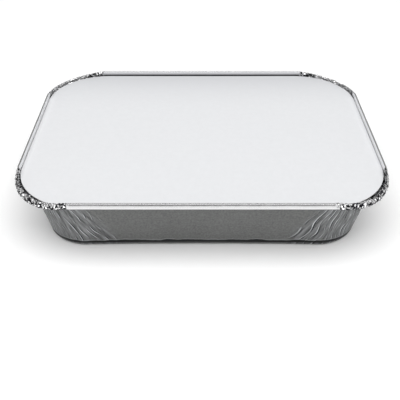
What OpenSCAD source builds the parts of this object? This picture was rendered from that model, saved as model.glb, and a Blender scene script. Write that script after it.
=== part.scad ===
// Foil food container with a board lid: a shallow rectangular tray pressed from
// one sheet of thin aluminium foil, and a flat lid of white board that lies on
// the tray's flange, inside the upright lip.
// Millimetres, +Z up. The origin is on the floor, under the middle of the tray.

/* [Tray] */
// Width over the rim, along X
tray_w = 228; // [190:1:260]
// Length over the rim, along Y
tray_l = 172; // [150:1:220]
// Height from the floor to the top of the rolled edge
tray_h = 44; // [34:0.5:60]
// Radius of the rim's corners, outside
corner_r = 37; // [34:0.5:48]
// Thickness of the foil
foil_t = 0.1; // [0.08:0.01:0.16]
// How far the wall's foot stands inside the rim, on every side
base_inset = 16; // [13:0.5:19]
// Radius of the corners at the wall's foot
base_corner_r = 26; // [22:1:32]
// Radius of the bend between the base and the wall
base_bend_r = 2.6; // [1.5:0.1:3.5]

/* [Rim] */
// Width of the flat flange that the lid lies on
flange_w = 7; // [5:0.5:9]
// Height of the upright lip over the flange's underside
lip_h = 4.2; // [3.4:0.1:6]
// How far the lip leans out from its root to its rolled edge
lip_lean = 0.15; // [0:0.05:0.6]
// Width of the flat top of the edge that is rolled outwards over the lip
roll_top_w = 1; // [0.8:0.1:1.6]
// How far the rolled edge comes down outside the lip
roll_drop = 2.9; // [2:0.1:3.2]
// Slant of the rolled edge's outside, in degrees from upright
roll_slant = 25; // [10:1:35]
// Radius of the bends on either side of the flange
flange_bend_r = 0.4; // [0.3:0.1:0.8]

/* [Base] */
// Width of the flat ring that the tray stands on
foot_w = 5; // [3:0.5:6]
// Height of the pressed panel over the foot ring
panel_rise = 1.4; // [0.6:0.1:2.5]
// Width of the slope from the foot ring up to the panel
panel_slope_w = 2; // [1:0.5:3]

/* [Pleats] */
// Number of pleats pressed into each corner
pleats = 20; // [12:1:22]
// How far a pleat stands in or out of the wall at its top
wall_pleat = 0.42; // [0.1:0.02:0.6]
// How far a pleat dips below the flange
flange_pleat = 0.36; // [0.1:0.02:0.6]
// How far a crimp pulls the lip inwards
lip_crimp = 0.5; // [0.1:0.05:0.6]

/* [Lid] */
// Thickness of the board
lid_t = 0.5; // [0.3:0.05:0.8]
// Clearance from the lid's edge to the bend at the foot of the lip
lid_gap = 0.1; // [0.1:0.1:2]
// How much rounder the lid's corners are than the rim's
lid_corner_more = 3; // [3:0.5:8]

/* [Hidden] */

foil_colour = [0.72, 0.73, 0.74];
board_colour = [0.93, 0.93, 0.94];
round_faces = 96;

// The foil's middle line is what the section follows
flange_z = tray_h - lip_h + foil_t / 2;
foot_z = foil_t / 2;
panel_edge = base_inset + base_bend_r + foot_w + panel_slope_w;

// Radii of the bends on top of the rolled edge, and of the one that turns its foot in,
// which goes on past upright by this many degrees
roll_bend_r = 0.4;
roll_foot_r = 0.35;
roll_foot_turn = 60;
// The wall's pleats start at this share of its height and grow to its top
pleat_start = 0.35;
pleat_start_depth = 0.3;

// Unit vector from one point of the section towards another
function toward(from, to) = (to - from) / norm(to - from);

// Points of a round bend of radius r at corner b of the line a, b, c
function bend(a, b, c, r, steps) =
    let(
        back = toward(b, a),
        on = toward(b, c),
        half = acos(back * on) / 2,
        centre = b + (back + on) / norm(back + on) * r / sin(half),
        start = b + back * r / tan(half),
        end = b + on * r / tan(half),
        arm = start - centre,
        side = (end - centre) - arm * ((end - centre) * arm) / (r * r),
        turn = 180 - 2 * half
    )
    [for (i = [0 : steps])
        centre + arm * cos(turn * i / steps) + side / norm(side) * r * sin(turn * i / steps)];

// Half section of the foil's middle line, as [inset from the rim, height]
roll_foot = [foil_t / 2 + roll_foot_r, tray_h - roll_drop];
function foot_point(a) = roll_foot + roll_foot_r * [-cos(a), sin(a)];
slant_foot = foot_point(roll_slant);
shoulder_z = tray_h - foil_t / 2;
shoulder = [slant_foot[0] + (shoulder_z - slant_foot[1]) * tan(roll_slant), shoulder_z];
lip_top = shoulder + [roll_top_w, 0];
flange_outer = [lip_top[0] + lip_lean, flange_z];
wall_head = flange_outer + [flange_w, 0];
wall_foot = [base_inset, foot_z];
foot_inner = [base_inset + base_bend_r + foot_w, foot_z];
panel_corner = [panel_edge, foot_z + panel_rise];

base_bend = bend(foot_inner, wall_foot, wall_head, base_bend_r, 2);
head_bend = bend(wall_foot, wall_head, flange_outer, flange_bend_r, 1);
root_bend = bend(wall_head, flange_outer, lip_top, flange_bend_r, 1);
wall_low = base_bend[2] + (head_bend[0] - base_bend[2]) * pleat_start;
top_bend = bend(flange_outer, lip_top, shoulder, roll_bend_r, 1);
shoulder_bend = bend(lip_top, shoulder, slant_foot, roll_bend_r, 2);
roll_end = [for (a = [roll_slant, 0, -roll_foot_turn]) foot_point(a)];

section = concat(
    [panel_corner, foot_inner],
    base_bend,
    [wall_low],
    head_bend,
    root_bend,
    top_bend,
    shoulder_bend,
    roll_end
);
last = len(section) - 1;
// The section's points where the wall's pleats start and where the flange ends
wall_start = 5;
flange_end = 8;

// The lid's edge lies just inside the bend at the lip's foot
lid_inset = flange_outer[0] + flange_bend_r + lid_gap;
lid_w = tray_w - 2 * lid_inset;
lid_l = tray_l - 2 * lid_inset;
lid_corner_r = corner_r + lid_corner_more;
lid_z = flange_z + foil_t / 2;

// What a fold of depth f, from -1 to 1, adds to [inset, height] at section point j
function fold_shift(j, f) =
    let(dip = flange_pleat * (1 + f) / 2, crimp = lip_crimp * (1 - f) / 2)
    j < wall_start ? [0, 0]
    : j == wall_start ? [-wall_pleat * pleat_start_depth * f, 0]
    : j < flange_end ? [-wall_pleat * f, -dip]
    : j == flange_end ? [crimp, -dip]
    : [crimp, 0];

// Direction across the foil at section point j, stretched to keep its thickness
function across(j) =
    let(
        before = j == 0 ? [-1, 0] : toward(section[j - 1], section[j]),
        after = j == last ? before : toward(section[j], section[j + 1]),
        mid = (before + after) / norm(before + after)
    )
    [mid[1], -mid[0]] / (mid * after);

// Closed outline of the foil at a station: the outer face up, the inner face down
function outline(folded, f) = [for (k = [0 : 2 * last + 1])
    let(
        outside = k <= last,
        j = outside ? k : 2 * last + 1 - k,
        reach = (outside ? -1 : 1) * foil_t / 2
    )
    section[j] + reach * across(j) + (folded ? fold_shift(j, f) : [0, 0])];

// The folds are pressed unevenly. Two sines, which turn this many degrees from fold to
// fold and from corner to corner, vary their depth and their places by these shares
folds = 2 * pleats;
depth_share = 0.35;
depth_turn = [147, 61];
place_share = 0.3;
place_turn = [113, 37];

// Depth of fold i of corner c: ridges and valleys in turn, some deep and some shallow
function fold_depth(c, i) =
    (i % 2 == 0 ? -1 : 1) * (1 - depth_share + depth_share * sin(depth_turn * [i, c]));

// Each fold stands a little off its even place
function fold_angle(c, i) = 90 * (i + place_share * sin(place_turn * [i, c])) / folds;

// Stations round the rim: [corner number, angle, folded or not, fold depth]
function inner_fold(i) = i > 0 && i < folds;
stations = [for (c = [0 : 3]) for (i = [0 : folds])
    [c, 90 * c + (inner_fold(i) ? fold_angle(c, i) : 90 * i / folds), inner_fold(i), fold_depth(c, i)]];
corner_x = tray_w / 2 - corner_r;
corner_y = tray_l / 2 - corner_r;
corner_places = [[corner_x, corner_y], [-corner_x, corner_y],
    [-corner_x, -corner_y], [corner_x, -corner_y]];

// The corners are rounder than the rim's arc drawn in to the same inset. This gives by how
// much: in full at the wall's foot, and less and less up to the flange
function corner_more(z) =
    let(rise = (z - foot_z) / (flange_z - foot_z))
    (base_corner_r - corner_r + base_inset) * (1 - max(0, min(1, rise)));

// Point of the tray at a station, from its inset and height in the section
function placed(station, p) =
    let(
        more = corner_more(p[1]),
        rim_centre = corner_places[station[0]],
        centre = rim_centre - more * [sign(rim_centre[0]), sign(rim_centre[1])],
        reach = corner_r - p[0] + more,
        a = station[1]
    )
    [centre[0] + reach * cos(a), centre[1] + reach * sin(a), p[1]];

module foil_tray() {
    ring = 2 * last + 2;
    count = len(stations);
    points = [for (s = stations) for (p = outline(s[2], s[3])) placed(s, p)];
    // Both faces of the foil are split along the same diagonals, so they stay parallel
    skin = [for (s = [0 : count - 1]) for (k = [0 : ring - 2])
        let(
            a = s * ring + k,
            b = a + 1,
            d = ((s + 1) % count) * ring + k,
            e = d + 1
        )
        each k <= last ? [[a, b, e], [a, e, d]] : [[a, b, d], [b, e, d]]];
    under = [for (s = [0 : count - 1]) s * ring];
    inside = [for (s = [count - 1 : -1 : 0]) s * ring + ring - 1];
    color(foil_colour)
        polyhedron(points, concat(skin, [under, inside]), convexity = 8);
}

module rounded_sheet(w, l, r) {
    square([w - 2 * r, l], center = true);
    square([w, l - 2 * r], center = true);
    for (x = [-1, 1]) for (y = [-1, 1])
        translate([x * (w / 2 - r), y * (l / 2 - r)])
            circle(r, $fn = round_faces);
}

module board_lid() {
    color(board_colour)
        translate([0, 0, lid_z])
            linear_extrude(lid_t)
                rounded_sheet(lid_w, lid_l, lid_corner_r);
}

foil_tray();
board_lid();
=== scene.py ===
# A foil food container with its board lid, on a pale studio floor.
# Metres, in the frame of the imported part: +Z up, the origin on the floor under the tray.
import math

import bpy
import numpy as np
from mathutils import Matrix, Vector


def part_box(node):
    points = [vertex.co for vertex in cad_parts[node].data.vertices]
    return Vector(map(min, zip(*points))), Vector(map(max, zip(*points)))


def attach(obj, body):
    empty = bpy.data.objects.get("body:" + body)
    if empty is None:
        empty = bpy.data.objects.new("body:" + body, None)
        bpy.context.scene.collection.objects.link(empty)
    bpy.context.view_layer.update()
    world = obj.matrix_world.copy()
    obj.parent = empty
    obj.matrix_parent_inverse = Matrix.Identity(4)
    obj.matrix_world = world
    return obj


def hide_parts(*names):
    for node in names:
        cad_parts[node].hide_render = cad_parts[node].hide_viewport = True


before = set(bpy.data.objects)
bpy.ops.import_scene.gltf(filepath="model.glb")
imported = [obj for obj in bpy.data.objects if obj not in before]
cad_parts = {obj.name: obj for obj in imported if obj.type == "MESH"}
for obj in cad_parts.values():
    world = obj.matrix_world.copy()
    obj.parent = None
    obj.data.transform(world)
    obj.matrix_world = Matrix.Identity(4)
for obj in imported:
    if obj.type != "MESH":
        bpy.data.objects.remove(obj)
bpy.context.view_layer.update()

# Foil tray. The real one is a single blank of soft aluminium foil, 0.1 mm thick, pressed
# between dies. The spare foil of each corner is crushed into pleats that fan out of the
# base's corner, cross the flange and crimp the lip, and the top edge is rolled outwards.
MM = 0.001
tray_low, tray_high = (np.array(corner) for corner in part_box("foil_tray"))
rim_half = (tray_high - tray_low)[:2] / 2
tray_top = tray_high[2]
corner_r = 37 * MM
arc_half = corner_r * math.pi / 4
foil_t = 0.1 * MM

# The rolled edge: a flat top, a slanting outside that bows a little, and a foot turned in
roll_top_w = 0.95 * MM
roll_drop = 2.9 * MM
roll_slant = math.radians(25)
roll_bow = 0.08 * MM
roll_bend_r = 0.25 * MM
roll_foot_r = 0.35 * MM
roll_foot_turn = math.radians(60)

# The upright lip, and the flange that the lid lies on
lip_h = 4.2 * MM
lip_lean = 0.2 * MM
lip_root_r = 0.15 * MM
lip_fold_r = 0.1 * MM
flange_w = 7 * MM
flange_bend_r = 0.4 * MM
flange_z = tray_top - lip_h + foil_t / 2

# The wall's foot, which is drawn in a little along the sides, and the base
base_inset = 16 * MM
base_corner_r = 26 * MM
base_bend_r = 2.6 * MM
side_draw = 1.0 * MM
foot_w = 5 * MM
panel_rise = 1.4 * MM
panel_slope_w = 2 * MM
panel_bend_r = 0.8 * MM

# Pleats of the wall, and three sets of creases and the knots of the rim. Each has a pitch
# from ridge to ridge, and creases move along the rim by a share of the way up the foil
pleat_pitch = 5.0 * MM
pleat_lap = 1.0 * MM
medium_pitch = 2.8 * MM
medium_slant = 0.25
fine_pitch = 1.7 * MM
fine_slant = -0.45
cross_pitch = 2.3 * MM
cross_slant = 0.8
knot_pitch = 4.0 * MM
fan_slant = 0.5

# How far each set moves the foil of the wall, the flange and the lip
wall_pleat = 0.7 * MM
wall_medium = 0.12 * MM
flange_medium = 0.20 * MM
flange_fine = 0.12 * MM
lip_medium = 0.20 * MM
lip_fine = 0.26 * MM
lip_cross = 0.16 * MM
lip_knot = 0.24 * MM
corner_sag = 2.2 * MM
cross_sag = 0.2 * MM
# At a knot the lip's other creases are shallower by this share
knot_calm = 0.4

# Where they start and end, along the rim from the middle of the corner: the rim's creases
# and the wall's pleats fade out by the arc's end, and the knots lie just before it
pleat_reach = 24 * MM
rim_fade = (arc_half - 0.5 * MM, arc_half + 1.5 * MM)
fan_fade = (arc_half - 1 * MM, arc_half + 6 * MM)
foot_fade = (arc_half + 16 * MM, arc_half + pleat_reach)
knot_start = (arc_half - 9 * MM, arc_half - 4 * MM)

# And up the foil: shares of the wall's height, and ways past the end of the flange
wall_pleat_start = (0.0, 0.4)
wall_crease_start = (0.6, 1.0)
crimp_start = (0.5 * MM, 2.0 * MM)
wall_blend = 0.3 * MM
lip_blend = 0.2 * MM

# Soft waves all round: how far they stand out, and how many go round the rim
wall_wave = 0.22 * MM
wall_waves = [5, 8, 13, 21]
rim_wave = 0.05 * MM
flange_waves = [9, 16, 27]
lip_waves = [7, 15, 26, 39]

# Seeds of what is left to chance: the folds, with one for each corner, and the waves
corner_seed = 40
wave_seed = 7


def bend(before, corner, after, radius, steps):
    """Points of a round bend: on the circle of that radius that touches both straight
    pieces at the corner, in even turns from the first touching point to the second."""
    before, corner, after = (np.array(p, float) for p in (before, corner, after))
    back = (before - corner) / np.linalg.norm(before - corner)
    on = (after - corner) / np.linalg.norm(after - corner)
    half = np.arccos(back @ on) / 2
    centre = corner + (back + on) / np.linalg.norm(back + on) * radius / np.sin(half)
    start = corner + back * radius / np.tan(half) - centre
    end = corner + on * radius / np.tan(half) - centre
    side = end - start * (end @ start) / radius**2
    side *= radius / np.linalg.norm(side)
    turn = np.linspace(0, np.pi - 2 * half, steps + 1)[:, None]
    return centre + start * np.cos(turn) + side * np.sin(turn)


def between(start, end, steps):
    """Even points of a straight piece, without its two ends."""
    share = np.linspace(0, 1, steps + 1)[1:-1, None]
    return start + (end - start) * share


def tray_section(slant_steps=5):
    """Middle line of the foil as [inset from the rim, height], from the panel in the base
    up to the end of the rolled edge: straight pieces joined by round bends. The rolled
    edge has a flat top, a slanting outside and a foot that turns in under it on an arc.
    Also gives where each stretch of it starts."""
    foot_turn = np.linspace(roll_slant, -roll_foot_turn, 6)[:, None]
    foot_arc = roll_foot_r * np.hstack([-np.cos(foot_turn), np.sin(foot_turn)])
    roll_foot = np.array([foil_t / 2 + roll_foot_r, tray_top - roll_drop]) + foot_arc
    shoulder_z = tray_top - foil_t / 2
    shoulder_in = roll_foot[0, 0] + (shoulder_z - roll_foot[0, 1]) * math.tan(roll_slant)
    shoulder = [shoulder_in, shoulder_z]
    lip_top = [shoulder_in + roll_top_w, shoulder_z]
    root = [lip_top[0] + lip_lean, flange_z]
    wall_head = [root[0] + flange_w, flange_z]
    wall_foot = [base_inset, foil_t / 2]
    ring_in = [base_inset + base_bend_r + foot_w, foil_t / 2]
    panel_edge = [ring_in[0] + panel_slope_w, foil_t / 2 + panel_rise]
    panel_in = [panel_edge[0] + 2 * panel_slope_w, panel_edge[1]]
    panel = bend(panel_in, panel_edge, ring_in, panel_bend_r, steps=2)
    ring = bend(panel_edge, ring_in, wall_foot, panel_bend_r, steps=2)
    foot = bend(ring_in, wall_foot, wall_head, base_bend_r, steps=4)
    head = bend(wall_foot, wall_head, root, flange_bend_r, steps=3)
    lip = bend(wall_head, root, lip_top, lip_root_r, steps=3)
    top = bend(root, lip_top, shoulder, lip_fold_r, steps=3)
    edge = bend(lip_top, shoulder, roll_foot[0], roll_bend_r, steps=4)
    wall = between(foot[-1], head[0], steps=13)
    flange = between(head[-1], lip[0], steps=4)
    upright = between(lip[-1], top[0], steps=4)
    slant = between(edge[-1], roll_foot[0], slant_steps)
    bow = np.sin(np.pi * np.linspace(0, 1, slant_steps + 1)[1:-1])[:, None]
    slant = slant + roll_bow * bow * np.array([-math.cos(roll_slant), math.sin(roll_slant)])
    runs = {
        "panel": panel, "ring": ring, "foot": foot, "wall": wall, "head": head,
        "flange": flange, "lip": lip, "upright": upright, "top": top, "edge": edge,
        "slant": slant, "roll": roll_foot,
    }
    firsts = np.cumsum([0] + [len(run) for run in runs.values()])[:-1]
    return np.vstack(list(runs.values())), dict(zip(runs, firsts))


def rim_walk(arc_steps, end_steps, middle_steps):
    """Stations round the rim, anticlockwise from the end of the right side: the point that
    the foil is drawn out from, the direction it goes out in, the way walked along the
    rim, and the signed way from the middle of the nearest corner with that corner's
    number. On a corner the point is the arc's centre, on a side it moves along, in short
    steps over the stretch at either end that the pleats reach and long ones between."""
    cx, cy = rim_half - corner_r
    centres = np.array([[cx, cy], [-cx, cy], [-cx, -cy], [cx, -cy]])
    arc = 2 * arc_half
    points, angles, walked, signed, corner = [], [], [], [], []
    way = 0.0
    for c in range(4):
        turn = np.linspace(0, 1, arc_steps, endpoint=False)
        points.append(np.repeat(centres[c : c + 1], arc_steps, axis=0))
        angles.append((c + turn) * math.pi / 2)
        walked.append(way + arc * turn)
        signed.append(arc * (turn - 0.5))
        corner.append(np.full(arc_steps, c))
        way += arc
        start, end = centres[c], centres[(c + 1) % 4]
        side = np.linalg.norm(end - start)
        near = pleat_reach / side
        share = np.concatenate([
            np.linspace(0, near, end_steps, endpoint=False),
            np.linspace(near, 1 - near, middle_steps, endpoint=False),
            np.linspace(1 - near, 1, end_steps, endpoint=False),
        ])
        points.append(start + (end - start) * share[:, None])
        angles.append(np.full(len(share), (c + 1) * math.pi / 2))
        walked.append(way + side * share)
        first_half = share < 0.5
        to_corner = np.where(first_half, side * share, side * (share - 1))
        signed.append(np.where(first_half, arc / 2, -arc / 2) + to_corner)
        corner.append(np.where(first_half, c, (c + 1) % 4))
        way += side
    join = np.concatenate
    return join(points), join(angles), join(walked), way, join(signed), join(corner)


def ease(x, start, end):
    """0 before start, 1 after end, and a smooth step between them."""
    share = np.clip((x - start) / (end - start), 0, 1)
    return share * share * (3 - 2 * share)


def creases(rng, across, pitch):
    """Folds across a line: ridges and valleys in turn, at uneven places about half a
    pitch apart and of uneven height, joined by straight flanks. Gives the height, from
    -1 to 1, at each of the places asked for."""
    uneven_gap, uneven_height = (0.45, 1.55), (0.3, 1.0)
    reach = np.abs(across).max() + pitch
    count = int(4 * reach / pitch) + 4
    places = np.cumsum(pitch / 2 * rng.uniform(*uneven_gap, count))
    places -= places[count // 2]
    ridge_or_valley = np.where(np.arange(count) % 2, 1, -1)
    heights = ridge_or_valley * rng.uniform(*uneven_height, count)
    return np.interp(across, places, heights)


def pleats(rng, across, pitch, lap):
    """Pleats laid over to one side of the middle and to the other on the other side: each
    rises evenly over its pitch and drops back over its lap, as a saw's teeth do, with
    uneven widths and heights. Gives the height, from 0 to 1, at each place."""
    uneven_width, uneven_height = (0.6, 1.4), (0.35, 1.0)
    reach = np.abs(across).max() + pitch
    count = int(2 * reach / pitch) + 3
    widths = pitch * rng.uniform(*uneven_width, count)
    starts = np.cumsum(widths) - widths.sum() / 2
    heights = rng.uniform(*uneven_height, count)
    places = np.stack([starts, starts + lap], axis=1).ravel()
    levels = np.stack([heights, 0 * heights], axis=1).ravel()
    laid_left = np.interp(across, places, levels)
    laid_right = np.interp(-across, places, levels)
    return np.where(across < 0, laid_left, laid_right)


def ripples(rng, walked, whole_way, rise, turns):
    """Soft waves over the foil: a sum of cosines with whole numbers of waves round the
    rim, each slanting its own way up the section, about -1 to 1."""
    total = 0
    for waves in turns:
        slant = rng.uniform(-1, 1) * waves / whole_way * 2
        phase = rng.uniform(0, 2 * math.pi)
        turned = waves * walked / whole_way + slant * rise
        total = total + np.cos(2 * math.pi * turned + phase)
    return total / len(turns)


def section_shares(rise, wall_low, wall_top, flange_end, lip_end):
    """Shares from 0 to 1 for each point of the section: how far it lies up the wall and up
    the lip, how much it belongs to the wall, the flange and the lip, and how much of the
    crimps it takes, which start clear of the lid."""
    on_wall = 1 - ease(rise, wall_top - wall_blend, wall_top + wall_blend)
    on_lip = ease(rise, flange_end - lip_blend, flange_end + lip_blend)
    crimp_low, crimp_high = crimp_start
    return {
        "up_wall": np.clip((rise - wall_low) / (wall_top - wall_low), 0, 1),
        "up_lip": np.clip((rise - flange_end) / (lip_end - flange_end), 0, 1),
        "on_wall": on_wall,
        "on_flange": 1 - on_wall - on_lip,
        "on_lip": on_lip,
        "crimped": ease(rise, flange_end + crimp_low, flange_end + crimp_high),
    }


def corner_folds(rise, share, wall_low, wall_top, flange_end, signed, corner):
    """The folds of the four corners, for each station and each point of the section: how
    far they push the foil, how far the lip sinks, how much the rim is crushed and the wall
    pleated, and each point's place across the fan of pleats. Every part is the sum of its
    sets of folds, each times its depth, faded out along the rim and up the foil."""
    grid = (len(signed), len(rise))
    depth, sink, crushed, pleated, fan = (np.zeros(grid) for _ in range(5))
    # Each corner's fan has places of its own, this far from the next one's
    fan_apart = 200 * MM
    for c in range(4):
        rng = np.random.default_rng(corner_seed + c)
        mine = corner == c
        x = signed[mine][:, None] + 0 * rise
        # Going down, a crease that starts at u on the rim moves away from the corner's
        # middle by its slant times u squared: this solves that for u
        down_wall = (wall_top - wall_low) * (1 - share["up_wall"])
        spread = fan_slant * down_wall / arc_half**2
        fanned = 2 * x / (1 + np.sqrt(1 + 4 * spread * np.abs(x)))
        folds = pleats(rng, fanned, pleat_pitch, pleat_lap)
        medium = creases(rng, x + medium_slant * (rise - wall_top), medium_pitch)
        fine = creases(rng, x + fine_slant * (rise - flange_end), fine_pitch)
        cross = creases(rng, x + cross_slant * (rise - flange_end), cross_pitch)
        knot = creases(rng, x, knot_pitch)
        near_wall = 1 - ease(np.abs(fanned), *fan_fade)
        near_wall *= 1 - ease(np.abs(x), *foot_fade)
        near_rim = 1 - ease(np.abs(x), *rim_fade)
        knotted = near_rim * ease(np.abs(x), *knot_start)
        wall_part = near_wall * share["on_wall"] * (
            wall_pleat * (folds - 0.5) * ease(share["up_wall"], *wall_pleat_start)
            + wall_medium * medium * ease(share["up_wall"], *wall_crease_start)
        )
        flange_part = near_rim * share["on_flange"] * (
            flange_medium * (1 + medium) + flange_fine * (1 + fine)
        )
        lip_part = near_rim * share["crimped"] * (1 - knot_calm * knotted) * (
            lip_medium * (medium - 1) + lip_fine * (fine - 1) + lip_cross * (cross - 1)
        )
        knot_part = knotted * share["crimped"] * lip_knot * (knot - 1)
        depth[mine] = wall_part + flange_part + lip_part + knot_part
        sag = corner_sag * (1 - np.clip(np.abs(x) / arc_half, 0, 1) ** 2)
        sink[mine] = near_rim * share["up_lip"] * (sag + cross_sag * (1 + cross))
        crushed[mine] = near_rim * (share["on_lip"] + share["on_flange"])
        pleated[mine] = near_wall * share["on_wall"]
        fan[mine] = fanned + fan_apart * (c + 1)
    return depth, sink, crushed, pleated, fan


def tray_surface():
    """The foil as a closed sheet on a grid of stations round the rim and points along the
    section. Each point is the section's, pushed along the foil's own normal by pleats in
    the corners and by soft waves all round, then set half the foil's thickness out or in.
    Gives the points, the blank's flat coordinates for each, and marks for the material."""
    line, first = tray_section()
    walk, angle, walked, whole_way, signed, corner = rim_walk(
        arc_steps=148, end_steps=30, middle_steps=6
    )
    step = np.gradient(line, axis=0)
    step /= np.linalg.norm(step, axis=1)[:, None]
    # The normal points out of the foil's underside: down from the base and the flange,
    # and outwards from the wall and the lip
    normal = np.stack([-step[:, 1], step[:, 0]], axis=1)
    rise = np.concatenate([[0], np.cumsum(np.linalg.norm(np.diff(line, axis=0), axis=1))])
    wall_low, wall_top = rise[first["wall"]], rise[first["head"] + 2]
    flange_end, lip_end = rise[first["lip"] + 1], rise[first["top"]]
    share = section_shares(rise, wall_low, wall_top, flange_end, lip_end)
    on_wall, on_lip = share["on_wall"], share["on_lip"]
    depth, sink, crushed, pleated, fan = corner_folds(
        rise, share, wall_low, wall_top, flange_end, signed, corner
    )

    # Valleys of the crushed rim get painted shade: there the depth curves inwards along the
    # rim, and where it does so on a radius of 0.4 mm the painted shade is as dark as it gets
    dark_fold_r = 0.4 * MM
    curve = np.gradient(np.gradient(depth, walked, axis=0), walked, axis=0)
    painted_valley_shade = np.clip(curve * dark_fold_r, 0, 1) * (1 - on_wall)
    # The hem, where the rolled edge turns in, gets painted shade too
    hem = rise[first["roll"]]
    painted_valley_shade = np.maximum(painted_valley_shade, ease(rise, hem, hem + lip_blend))

    rng = np.random.default_rng(wave_seed)
    way, up = walked[:, None], rise[None, :]
    belly = np.sin(math.pi * share["up_wall"]) * on_wall
    depth += wall_wave * belly * ripples(rng, way, whole_way, up, wall_waves)
    flange_wave = 1 + ripples(rng, way, whole_way, up, flange_waves)
    lip_wave = ripples(rng, way, whole_way, up, lip_waves) - 1
    depth += rim_wave * (share["on_flange"] * flange_wave + on_lip * lip_wave)

    # The sides' feet are drawn in a little between the corners
    cx, cy = rim_half - corner_r
    on_long_side = np.abs(walk[:, 1]) >= cy - 1e-9
    along_side = np.where(on_long_side, walk[:, 0] / cx, walk[:, 1] / cy)
    drawn = side_draw * (1 - np.clip(np.abs(along_side), 0, 1) ** 2)[:, None]
    drawn = drawn * (1 - share["up_wall"])

    # The corners are rounder than the rim's arc drawn in: in full at the foot, and less
    # and less up to the flange
    rise_share = np.clip((line[:, 1] - foil_t / 2) / (flange_z - foil_t / 2), 0, 1)
    more = (base_corner_r - corner_r + base_inset) * (1 - rise_share)
    drawn_together = 1 - more[:, None] / np.array([cx, cy])

    # From the lip up everything moves sideways together, so the rolled edge stays round
    push = normal * (1 - on_lip)[:, None] + on_lip[:, None] * np.array([-1.0, 0.0])
    out = np.stack([np.cos(angle), np.sin(angle)], axis=1)
    faces = []
    for half_t in (foil_t / 2, -foil_t / 2):
        inset = line[:, 0] + half_t * normal[:, 0] + depth * push[:, 0] + drawn
        height = line[:, 1] + half_t * normal[:, 1] + depth * push[:, 1] - sink
        arm = (corner_r + more - inset)[:, :, None] * out[:, None, :]
        flat = walk[:, None, :] * drawn_together + arm
        faces.append(np.concatenate([flat, height[:, :, None]], axis=2))
    blank_reach = (corner_r - line[0, 0] + rise)[None, :, None]
    blank = walk[:, None, :] + blank_reach * out[:, None, :]

    # Round the back corners the lip's inside faces the light, so only a quarter of its folds
    # get painted shade there, until the knots at the ends of the back side. The ways round are
    # given as sines: 0 at the short sides' middles and 1 at the back side
    lit = 0.75
    back_start, knots_start = (0.0, 0.35), (0.9, 0.97)
    behind = ease(np.sin(angle), *back_start)[:, None]
    before_knots = 1 - ease(np.sin(angle), *knots_start)[:, None]
    in_dark = 1 - lit * behind * before_knots
    marks = {
        # The wall's mark gives its satin roughness, and its painted dark reflection
        "dull_side_dark_mirror": on_wall + 0 * depth,
        # The marks of the back, the crushed facets and the valleys carry painted shade on the rim
        "behind": behind * (1 - crushed),
        "crushed": crushed,
        "shaded": crushed * in_dark,
        "painted_valley_shade": painted_valley_shade * in_dark,
        "pleated": pleated,
        "fan": fan,
        "over_foot": rise - wall_low + 0 * depth,
        "over_flange": rise - flange_end + 0 * depth,
    }
    # The outer face goes up the section, and the inner one comes back down it
    points = np.concatenate([faces[0], faces[1][:, ::-1]], axis=1)
    blank = np.concatenate([blank, blank[:, ::-1]], axis=1)
    marks = {name: np.concatenate([m, m[:, ::-1]], axis=1) for name, m in marks.items()}
    return points, blank, marks


def closed_walk_faces(stations, ring):
    """Quads between neighbouring stations, the last joined to the first, and the two
    flat faces that close the sheet at the ends of its section."""
    here = np.arange(stations)[:, None] * ring + np.arange(ring - 1)
    there = np.roll(here, -1, axis=0)
    quads = np.stack([here, here + 1, there + 1, there], axis=2).reshape(-1, 4)
    first = np.arange(stations) * ring
    return quads, [first, (first + ring - 1)[::-1]]


def mesh_piece(name, points, quads, caps, flat_map):
    """A new object whose mesh has these points, quads and closing faces, smooth shaded,
    with a UV map that holds each point's flat coordinates in metres."""
    mesh = bpy.data.meshes.new(name)
    mesh.from_pydata(points.tolist(), [], quads.tolist() + [cap.tolist() for cap in caps])
    corners = np.zeros(len(mesh.loops), np.int32)
    mesh.loops.foreach_get("vertex_index", corners)
    uv = mesh.uv_layers.new(name="blank")
    uv.data.foreach_set("uv", flat_map[corners].astype(np.float32).ravel())
    mesh.polygons.foreach_set("use_smooth", np.ones(len(mesh.polygons), bool))
    mesh.update()
    piece = bpy.data.objects.new(name, mesh)
    bpy.context.scene.collection.objects.link(piece)
    return piece


points, blank, marks = tray_surface()
quads, caps = closed_walk_faces(*points.shape[:2])
pressed_tray = mesh_piece(
    "pressed_tray", points.reshape(-1, 3), quads, caps, blank.reshape(-1, 2)
)
for mark, values in marks.items():
    attribute = pressed_tray.data.attributes.new(mark, "FLOAT", "POINT")
    attribute.data.foreach_set("value", values.reshape(-1).astype(np.float32))


def linear(hex_colour):
    """An sRGB hex colour as linear red, green, blue and full alpha: each channel is
    divided by 12.92 below 0.04045, and otherwise raised by the sRGB curve's power."""
    channels = [int(hex_colour[i : i + 2], 16) / 255 for i in (1, 3, 5)]
    curve = [c / 12.92 if c <= 0.04045 else ((c + 0.055) / 1.055) ** 2.4 for c in channels]
    return (*curve, 1.0)


def node(tree, kind, settings=None, inputs=None):
    """Adds a node. settings are its own properties; inputs sets each named or numbered
    socket to a value, or links it where the value is an output, or a node, whose first
    output it takes. Of the numbered ones, a Map Range goes from sockets 1 and 2 to 3 and
    4, and a colour Mix has its share at 0, its colours at 6 and 7 and its result at 2."""
    made = tree.nodes.new(kind)
    for key, value in (settings or {}).items():
        setattr(made, key, value)
    for key, value in (inputs or {}).items():
        if isinstance(value, bpy.types.Node):
            value = value.outputs[0]
        if isinstance(value, bpy.types.NodeSocket):
            tree.links.new(value, made.inputs[key])
        else:
            made.inputs[key].default_value = value
    return made


COLOUR_MIX = {"data_type": "RGBA"}
TIMES = {"operation": "MULTIPLY"}
TIMES_PLUS = {"operation": "MULTIPLY_ADD"}
MINUS = {"operation": "SUBTRACT"}


def new_material(name):
    """A node material with no nodes yet, and its tree."""
    made = bpy.data.materials.new(name)
    made.use_nodes = True
    made.node_tree.nodes.clear()
    return made, made.node_tree


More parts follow.
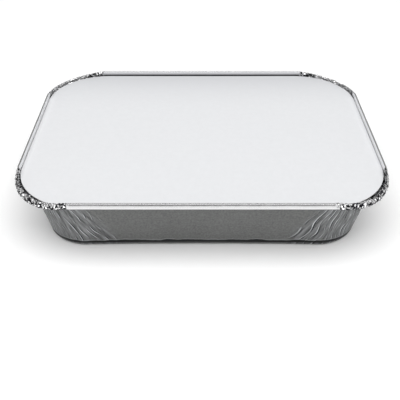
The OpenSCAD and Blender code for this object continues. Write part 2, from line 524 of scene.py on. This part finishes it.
def foil_patterns(tree, place, flat, on):
    """The patterns in the foil, by name, as noise whose patches have a real size."""
    # In millimetres, with detail and roughness. Handling dents are 4 to 8 mm across, and
    # the crushed grain between them about 1 mm. The wall's satin goes from clouds
    # centimetres wide down to a fine grain. The rest bend the lines of the pleats' edges,
    # fade them in and out, and bend the line at the foot
    pattern = {}
    for name, across, detail, roughness in (
        ("dents", 6, 3, 0.5),
        ("grain", 1.1, 2, 0.5),
        ("clouds", 35, 8, 0.7),
        ("edge_wander", 18, 0, 0.5),
        ("edge_fade", 8, 1, 0.5),
        ("foot_wander", 9, 2, 0.5),
    ):
        pattern[name] = node(
            tree,
            "ShaderNodeTexNoise",
            inputs={
                "Vector": place,
                "Scale": 1 / (across * MM),
                "Detail": detail,
                "Roughness": roughness,
            },
        )

    # Rolling lines are a few hundredths of a millimetre apart: drawn at 0.25 mm to show,
    # and about 17 mm long
    line_scale = (60, 1 / (0.25 * MM), 1)
    lines_at = node(tree, "ShaderNodeMapping", inputs={"Vector": flat, "Scale": line_scale})
    pattern["lines"] = node(
        tree, "ShaderNodeTexNoise", inputs={"Vector": lines_at, "Scale": 1, "Detail": 2}
    )

    # Between the pleats the foil is drawn into streaks 1 to 2 mm wide and 1 to 2 cm long,
    # which lie along the fan
    streak_across = node(tree, "ShaderNodeMath", TIMES, {0: on["fan"], 1: 1 / (1.5 * MM)})
    streak_along = node(tree, "ShaderNodeMath", TIMES, {0: on["over_foot"], 1: 1 / (15 * MM)})
    streak_at = node(tree, "ShaderNodeCombineXYZ", inputs={0: streak_across, 1: streak_along})
    pattern["streaks"] = node(
        tree,
        "ShaderNodeTexNoise",
        {"noise_dimensions": "2D"},
        {"Vector": streak_at, "Scale": 1, "Detail": 2, "Roughness": 0.6},
    )
    return pattern


def wall_tone_and_painted_light(tree, on, pattern):
    """The wall's colour at its top, and the layers laid on it, each with its share. The wall is
    the dull side's satin, painted far darker than foil as a painted dark reflection. It is
    painted a little lighter towards the foot, painted light where the wall mirrors the
    floor's shadow, then half grain all over, and between the pleats half streaks, painted
    light and shade, of which each is a little lighter or darker than its neighbour."""
    # Noise keeps near its middle: this range stretches it to the full contrast
    streak = node(tree, "ShaderNodeMapRange", inputs={0: pattern["streaks"], 1: 0.32, 2: 0.68})
    tones = {}
    # High and low are the wall's painted dark reflection, low also the painted light at the foot;
    # streak is painted light and shade
    for name, share, dark, light in (
        ("high", pattern["clouds"], "#606160", "#787978"),
        ("low", pattern["clouds"], "#737473", "#8a8b8a"),
        ("grain", pattern["grain"], "#2a2b2a", "#9c9d9c"),
        ("streak", streak, "#37383a", "#a6a8aa"),
    ):
        ends = {6: linear(dark), 7: linear(light)}
        tones[name] = node(tree, "ShaderNodeMix", COLOUR_MIX, {0: share, **ends}).outputs[2]
    painted_foot_lift = node(
        tree, "ShaderNodeMapRange", inputs={0: on["over_foot"], 1: 0, 2: 34 * MM, 3: 1, 4: 0}
    )
    half = 0.5
    streak_share = node(tree, "ShaderNodeMath", TIMES, {0: on["pleated"], 1: half})
    return tones["high"], [
        (painted_foot_lift, tones["low"]),
        (half, tones["grain"]),
        (streak_share, tones["streak"]),
    ]


def painted_pleat_edges(tree, on, pattern):
    """A pleat's edge is a painted highlight with a line of painted shade beside it, each a
    few tenths of a millimetre wide. The edges are about 3 mm apart, wander, and come and
    go. Gives both as layers for the wall."""
    wander = node(tree, "ShaderNodeMath", TIMES, {0: pattern["edge_wander"], 1: 2.5})
    pleat_at = node(
        tree, "ShaderNodeMath", TIMES_PLUS, {0: on["fan"], 1: 1 / (3.2 * MM), 2: wander}
    )
    pleat_at = node(tree, "ShaderNodeMath", {"operation": "FRACT"}, {0: pleat_at})
    shown = node(tree, "ShaderNodeMapRange", inputs={0: pattern["edge_fade"], 1: 0.4, 2: 0.62})
    shown = node(tree, "ShaderNodeMath", TIMES, {0: shown, 1: on["pleated"]})
    layers = []
    # Each line's middle and half width as shares of the way between two edges
    # The first line is painted shade, the second a painted highlight
    for middle, half_width, line_colour in ((0.6, 0.09, "#2e2f31"), (0.45, 0.06, "#d6d8da")):
        on_line = node(
            tree,
            "ShaderNodeMath",
            {"operation": "COMPARE"},
            {0: pleat_at, 1: middle, 2: half_width},
        )
        share = node(tree, "ShaderNodeMath", TIMES, {0: on_line, 1: shown})
        layers.append((share, linear(line_colour)))
    return layers


def painted_foot_lines(tree, on, pattern):
    """The bend at the foot is painted dark, a painted reflection of the dark gap under the
    tray, up to an uneven line with a thin painted highlight over it. Gives both as layers
    for the wall."""
    foot_line = node(
        tree,
        "ShaderNodeMath",
        TIMES_PLUS,
        {0: pattern["foot_wander"], 1: 2.4 * MM, 2: on["over_foot"]},
    )
    on_bend = node(
        tree, "ShaderNodeMapRange", inputs={0: on["over_foot"], 1: -3.0 * MM, 2: -2.4 * MM}
    )
    layers = []
    # The light line is a painted highlight, the dark one a painted reflection of the shade under
    # the tray
    # Each fades out from its low to its top, and covers no more than its share below that
    for low, top, most, line_colour in (
        (1.2 * MM, 2.0 * MM, 0.35, "#c8cacc"),
        (0.6 * MM, 1.1 * MM, 0.95, "#141516"),
    ):
        under_line = node(
            tree, "ShaderNodeMapRange", inputs={0: foot_line, 1: low, 2: top, 3: most, 4: 0}
        )
        share = node(tree, "ShaderNodeMath", TIMES, {0: under_line, 1: on_bend})
        layers.append((share, linear(line_colour)))
    return layers


def painted_rim_shadows(tree, on, facets):
    """Painted shade on the rim, as layers: the lip is painted darker towards its foot at the
    back, a painted reflection of the gap behind the lid, and of the facets of the crushed
    foil some are painted dark, as painted shade between two folds, and so are its valleys."""
    to_root = node(
        tree,
        "ShaderNodeMapRange",
        inputs={0: on["over_flange"], 1: 1.0 * MM, 2: 2.8 * MM, 3: 1, 4: 0},
    )
    to_root = node(tree, "ShaderNodeMath", TIMES, {0: to_root, 1: on["behind"]})
    on_upright = node(
        tree, "ShaderNodeMapRange", inputs={0: on["over_flange"], 1: -0.3 * MM, 2: 0}
    )
    painted_root_shade = node(tree, "ShaderNodeMath", TIMES, {0: to_root, 1: on_upright})
    facet_own = node(tree, "ShaderNodeSeparateColor", inputs={0: facets.outputs["Color"]})
    painted_facet_shade = node(
        tree, "ShaderNodeMapRange", inputs={0: facet_own.outputs[1], 1: 0.5, 2: 0.62}
    )
    painted_facet_shade = node(tree, "ShaderNodeMath", TIMES, {0: painted_facet_shade, 1: on["shaded"]})
    painted_facet_shade = node(tree, "ShaderNodeMath", {"operation": "MAXIMUM"}, {0: painted_facet_shade, 1: on["painted_valley_shade"]})
    return [(painted_root_shade, linear("#2c2d30")), (painted_facet_shade, linear("#26272a"))]


def foil_relief(tree, place, on, pattern, facets):
    """The foil's relief, from one bump on the next: rolling lines, dents, grain, the
    streaks of the pleats, and the facets of the crushed rim. A facet's height is its
    random tilt, up to 1 in 1.3, times the way from its middle."""
    tilt = node(
        tree, "ShaderNodeVectorMath", MINUS, {0: facets.outputs["Color"], 1: (0.5, 0.5, 0.5)}
    )
    from_middle = node(
        tree, "ShaderNodeVectorMath", MINUS, {0: place, 1: facets.outputs["Position"]}
    )
    facet_height = node(
        tree, "ShaderNodeVectorMath", {"operation": "DOT_PRODUCT"}, {0: tilt, 1: from_middle}
    )
    below = {}
    for strength, distance, height in (
        (0.25, 0.02 * MM, pattern["lines"]),
        (0.5, 0.12 * MM, pattern["dents"]),
        (0.4, 0.02 * MM, pattern["grain"]),
        (on["pleated"], 0.15 * MM, pattern["streaks"]),
        (on["crushed"], 1.5, facet_height.outputs["Value"]),
    ):
        bump = {"Strength": strength, "Distance": distance, "Height": height}
        relief = node(tree, "ShaderNodeBump", inputs={**bump, **below})
        below = {"Normal": relief}
    return relief


def rolled_foil():
    """Soft household-gauge aluminium foil, cold rolled and then pressed. It has a bright
    side with fine lines along the rolling direction, and handling leaves faint dents. The
    walls are satin from rubbing on the die, and painted far darker than foil as a painted
    dark reflection; the rim keeps more of its shine."""
    made, tree = new_material("rolled_foil")
    flat = node(tree, "ShaderNodeUVMap", {"uv_map": "blank"})
    place = node(tree, "ShaderNodeTexCoord").outputs["Object"]
    on = {}
    for mark in marks:
        on[mark] = node(tree, "ShaderNodeAttribute", {"attribute_name": mark}).outputs["Fac"]
    pattern = foil_patterns(tree, place, flat, on)
    # Crushed foil breaks into flat facets about 1.1 mm across
    facets = node(
        tree, "ShaderNodeTexVoronoi", inputs={"Vector": place, "Scale": 1 / (1.1 * MM)}
    )

    # Layers are laid on the wall's painted dark satin, some of them painted light and shade.
    # Above the wall the foil keeps its mill shine, and the rim's painted shadows are laid on that
    tone, layers = wall_tone_and_painted_light(tree, on, pattern)
    layers += painted_pleat_edges(tree, on, pattern) + painted_foot_lines(tree, on, pattern)
    for share, colour in layers:
        tone = node(tree, "ShaderNodeMix", COLOUR_MIX, {0: share, 6: tone, 7: colour}).outputs[2]
    mill_shine = {0: on["dull_side_dark_mirror"], 6: linear("#f1f1f2"), 7: tone}
    tone = node(tree, "ShaderNodeMix", COLOUR_MIX, mill_shine).outputs[2]
    for share, colour in painted_rim_shadows(tree, on, facets):
        tone = node(tree, "ShaderNodeMix", COLOUR_MIX, {0: share, 6: tone, 7: colour}).outputs[2]

    # The rim is glossier than the wall, and both are a little rougher along some lines
    satin = node(tree, "ShaderNodeMapRange", inputs={0: on["dull_side_dark_mirror"], 3: 0.12, 4: 0.48})
    uneven = node(tree, "ShaderNodeMath", TIMES_PLUS, {0: pattern["lines"], 1: 0.1, 2: satin})
    shader = node(
        tree,
        "ShaderNodeBsdfPrincipled",
        inputs={
            "Base Color": tone,
            "Metallic": 1.0,
            "Roughness": uneven,
            "Normal": foil_relief(tree, place, on, pattern, facets),
        },
    )
    node(tree, "ShaderNodeOutputMaterial", inputs={"Surface": shader})
    return made


pressed_tray.data.materials.append(rolled_foil())
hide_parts("foil_tray")
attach(pressed_tray, "root")

# Board lid. A flat sheet of half-millimetre grey board with a white clay-coated face, die
# cut with round corners. It lies loose on the flange, inside the lip, and has curled a
# little, so its short sides stand off the flange.
lid_low, lid_high = (np.array(corner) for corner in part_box("board_lid"))
lid_spread = 0.3 * MM
lid_half = (lid_high - lid_low)[:2] / 2 + np.array([lid_spread, 0])
lid_t = lid_high[2] - lid_low[2]
lid_corner_r = 40 * MM
lid_curl = 0.2 * MM
cut_edge_r = 0.12 * MM


def lid_surface(arc_points=25, side_step=6 * MM, ring_count=18):
    """The lid's closed skin: its rounded outline, shrunk ring by ring towards the middle
    on the top and the bottom face, with a small round on the cut edge. The rings lie
    closer together near the edge, by the 0.8th power of an even share. Every point is
    lifted by the curl, which grows with the square of the way from the middle line."""
    cx, cy = lid_half - lid_corner_r
    turn = np.linspace(0, math.pi / 2, arc_points)
    outline = []
    for c, (sx, sy) in enumerate([(1, 1), (-1, 1), (-1, -1), (1, -1)]):
        a = turn + c * math.pi / 2
        columns = [sx * cx + 0 * a, sy * cy + 0 * a, np.cos(a), np.sin(a)]
        outline.append(np.stack(columns, axis=1))
    outline = np.concatenate(outline)
    # Points are added along the straight sides, so that the curl stays smooth
    filled = []
    for start, end in zip(outline, np.roll(outline, -1, axis=0)):
        gap = np.linalg.norm(end[:2] - start[:2])
        share = np.linspace(0, 1, 1 + int(gap // side_step), endpoint=False)[:, None]
        filled.append(start + (end - start) * share)
    outline = np.concatenate(filled)
    centre, out = outline[:, :2], outline[:, 2:]
    edge = centre + lid_corner_r * out
    shares = np.linspace(0, 1, ring_count + 1)[1:-1] ** 0.8
    shrunk = [edge * share - out * cut_edge_r for share in shares]
    # The round goes in from the edge by its inset, and from the face by its drop
    rounding = np.linspace(0, math.pi / 2, 4)
    rounds = list(zip(cut_edge_r * (1 - np.sin(rounding)), cut_edge_r * (1 - np.cos(rounding))))
    levels = [(flat, lid_t) for flat in shrunk]
    levels += [(edge - out * inset, lid_t - drop) for inset, drop in rounds]
    levels += [(edge - out * inset, drop) for inset, drop in rounds[::-1]]
    levels += [(flat, 0.0) for flat in shrunk[::-1]]
    rings = [np.column_stack([flat, np.full(len(flat), z)]) for flat, z in levels]
    points = np.stack(rings, axis=1)
    curl = lid_curl * (points[:, :, 0] / lid_half[0]) ** 2
    points[:, :, 2] += lid_low[2] + curl
    return points


lid_points = lid_surface()
lid_stations, lid_ring = lid_points.shape[:2]
lid_quads, lid_caps = closed_walk_faces(lid_stations, lid_ring)
lid_points = lid_points.reshape(-1, 3)
lid_sheet = mesh_piece("lid_sheet", lid_points, lid_quads, lid_caps, lid_points[:, :2])


def coated_board():
    """White clay-coated board: a thin matt coat over paper fibres. The coat hides the
    fibres' colour, but their cloudy formation shows as faint mottling and a soft relief."""
    made, tree = new_material("coated_board")
    place = node(tree, "ShaderNodeTexCoord").outputs["Object"]
    # Formation clouds in the board are about 3 mm across, single fibres under 1 mm
    formation = node(
        tree, "ShaderNodeTexNoise", inputs={"Vector": place, "Scale": 1 / (3 * MM), "Detail": 4}
    )
    fibres = node(
        tree, "ShaderNodeTexNoise", inputs={"Vector": place, "Scale": 1 / (0.6 * MM), "Detail": 3}
    )
    mottle = {0: formation, 6: linear("#d4d5d7"), 7: linear("#dadbdd")}
    tone = node(tree, "ShaderNodeMix", COLOUR_MIX, mottle).outputs[2]
    # Painted shade: a soft grey darkening along the back edge, from 58 mm inside it
    along = node(tree, "ShaderNodeSeparateXYZ", inputs={0: place}).outputs["Y"]
    painted_back_shade = node(tree, "ShaderNodeMapRange", inputs={0: along, 1: 25 * MM, 2: 83 * MM})
    painted_back_shade = node(tree, "ShaderNodeMath", {"operation": "POWER"}, {0: painted_back_shade, 1: 2.0})
    back_shade_mix = {0: painted_back_shade, 6: tone, 7: linear("#c3c4c7")}
    tone = node(tree, "ShaderNodeMix", COLOUR_MIX, back_shade_mix).outputs[2]
    relief = node(
        tree,
        "ShaderNodeBump",
        inputs={"Strength": 0.3, "Distance": 0.03 * MM, "Height": fibres},
    )
    shader = node(
        tree,
        "ShaderNodeBsdfPrincipled",
        inputs={"Base Color": tone, "Roughness": 0.62, "Normal": relief},
    )
    node(tree, "ShaderNodeOutputMaterial", inputs={"Surface": shader})
    return made


def cut_board():
    """The grey core of recycled board, bared where the die cut it: rough and felted, with
    fibres under half a millimetre."""
    made, tree = new_material("cut_board")
    place = node(tree, "ShaderNodeTexCoord").outputs["Object"]
    felt = node(
        tree, "ShaderNodeTexNoise", inputs={"Vector": place, "Scale": 1 / (0.4 * MM), "Detail": 3}
    )
    core = {0: felt, 6: linear("#c9c7c3"), 7: linear("#dedcd8")}
    tone = node(tree, "ShaderNodeMix", COLOUR_MIX, core).outputs[2]
    shader = node(
        tree, "ShaderNodeBsdfPrincipled", inputs={"Base Color": tone, "Roughness": 0.9}
    )
    node(tree, "ShaderNodeOutputMaterial", inputs={"Surface": shader})
    return made


lid_sheet.data.materials.append(coated_board())
lid_sheet.data.materials.append(cut_board())
# The cut edge is the upright strip of faces between the two rounds, with the steepest
# strip of either round. The two caps belong to the coated faces
strip = np.tile(np.arange(lid_ring - 1), lid_stations)
on_cut = np.abs(strip - (lid_ring - 2) / 2) < 1.5
slots = np.concatenate([on_cut.astype(np.int32), [0, 0]])
lid_sheet.data.polygons.foreach_set("material_index", slots)
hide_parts("board_lid")
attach(lid_sheet, "root")

# Studio floor. A wide pale disc of matt card, which runs on past the picture's edges.
floor_r = 2.1
floor_corners = 96
floor_mesh = bpy.data.meshes.new("studio_floor")
floor_turn = np.linspace(0, 2 * math.pi, floor_corners, endpoint=False)
floor_edge = np.stack([np.cos(floor_turn), np.sin(floor_turn), 0 * floor_turn], axis=1)
floor_mesh.from_pydata((floor_r * floor_edge).tolist(), [], [list(range(floor_corners))])
studio_floor = bpy.data.objects.new("studio_floor", floor_mesh)
bpy.context.scene.collection.objects.link(studio_floor)
pale_card, card_tree = new_material("pale_card")
card_shader = node(
    card_tree,
    "ShaderNodeBsdfPrincipled",
    inputs={"Base Color": linear("#f9f9f9"), "Roughness": 0.9, "Specular IOR Level": 0.1},
)
node(card_tree, "ShaderNodeOutputMaterial", inputs={"Surface": card_shader})
floor_mesh.materials.append(pale_card)

# Studio light. A large softbox overhead and a faint panel high behind, in a room whose
# wall is pale low down and dark above, so that the foil shows bright bands between dark
# ones.


def softbox(name, wide, deep, place, aim, radiance):
    """A rectangular area light at a place, facing a point. Its power is its radiance
    times pi times its area."""
    light = bpy.data.lights.new(name, "AREA")
    light.shape = "RECTANGLE"
    light.size = wide
    light.size_y = deep
    light.energy = radiance * math.pi * wide * deep
    lamp = bpy.data.objects.new(name, light)
    away = np.array(place, float) - np.array(aim, float)
    away /= np.linalg.norm(away)
    across = np.cross([0, 0, 1], away)
    across /= np.linalg.norm(across)
    turned = np.eye(4)
    turned[:3] = np.stack([across, np.cross(away, across), away, place], axis=1)
    # Blender takes a matrix from plain lists column by column
    lamp.matrix_world = turned.T.tolist()
    bpy.context.scene.collection.objects.link(lamp)


tray_middle = (0, 0, 0.03)
softbox("key_softbox", wide=3.2, deep=2.0, place=(0, -0.5, 1.8), aim=tray_middle, radiance=3.05)
softbox("back_panel", wide=4.0, deep=1.27, place=(0, 1.4, 1.22), aim=tray_middle, radiance=0.16)

# The room's pale wall ends 13 degrees over the floor, and fades out by 21: these are the
# sines of the two
wall_ends = 0.23
wall_gone = 0.36
wall_strength = 0.97
dark_strength = 0.06
room = bpy.data.worlds.new("studio_room")
room.use_nodes = True
sight = node(room.node_tree, "ShaderNodeTexCoord").outputs["Generated"]
upwards = node(room.node_tree, "ShaderNodeSeparateXYZ", inputs={0: sight}).outputs["Z"]
wall_light = node(
    room.node_tree,
    "ShaderNodeMapRange",
    inputs={0: upwards, 1: wall_ends, 2: wall_gone, 3: wall_strength, 4: dark_strength},
)
backdrop = room.node_tree.nodes["Background"]
backdrop.inputs["Color"].default_value = linear("#ffffff")
room.node_tree.links.new(wall_light.outputs[0], backdrop.inputs["Strength"])
bpy.context.scene.world = room
bpy.context.scene.view_settings.view_transform = "Standard"

# Camera. It looks down on the front of the tray, as the photograph was taken, at a point
# level with the rim's top.
camera_elevation = math.radians(37.4)
camera_distance = 0.3522
camera_aim = np.array([-1.2 * MM, -80.9 * MM, tray_top])
photo_pixels = 400
focal_pixels = 621
lens = bpy.data.cameras.new("camera")
lens.sensor_width = 36
lens.lens = lens.sensor_width * focal_pixels / photo_pixels
lens.clip_start = 0.01
camera = bpy.data.objects.new("camera", lens)
back_off = np.array([0, -math.cos(camera_elevation), math.sin(camera_elevation)])
camera.location = camera_aim + camera_distance * back_off
camera.rotation_euler = (math.pi / 2 - camera_elevation, 0, 0)
bpy.context.scene.collection.objects.link(camera)
bpy.context.scene.camera = camera
